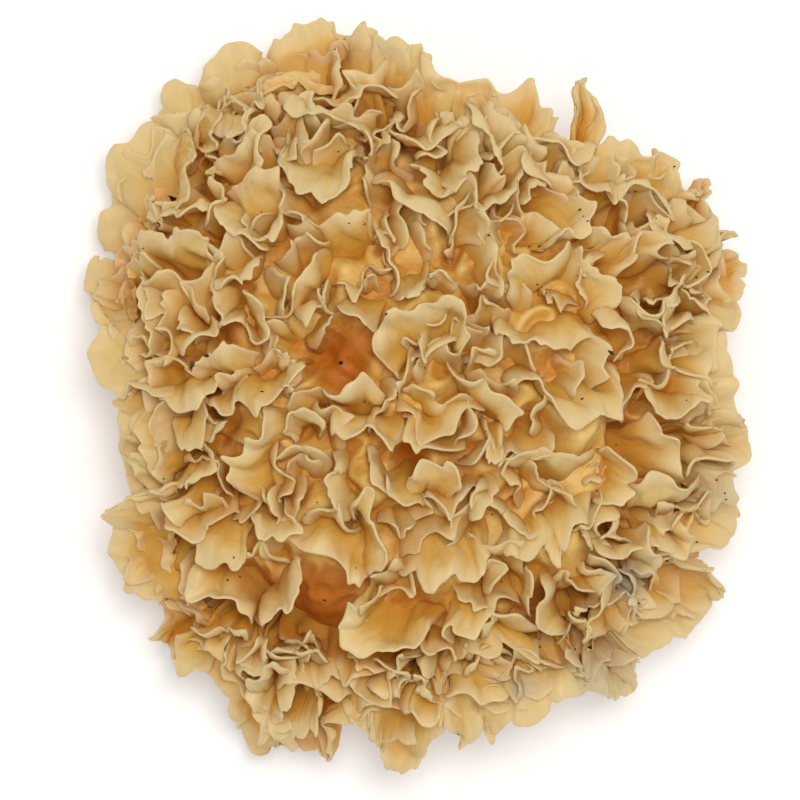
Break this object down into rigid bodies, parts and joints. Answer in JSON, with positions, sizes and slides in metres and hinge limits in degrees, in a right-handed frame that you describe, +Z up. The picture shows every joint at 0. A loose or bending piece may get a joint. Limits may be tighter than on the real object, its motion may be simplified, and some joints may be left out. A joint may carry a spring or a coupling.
{
  "type": "dried snow fungus",
  "caption": "Whole head of dried snow fungus: a rounded, ruffled mass of thin wavy fronds grown together on one foot that is cut off flat.",
  "frame": {"origin": "middle of the flat cut under the foot, on which the head rests", "axes": "+Z up out of the crown, +Y to the top of the picture, +X to its right-hand side"},
  "size_m": [0.1005, 0.1131, 0.0494],
  "materials": {
    "dried_fungus": "thin, dry, horny and slightly translucent, with a soft satin sheen"
  },
  "bodies": {
    "root": {"fruit_body": "dried_fungus"}
  },
  "joints": []
}
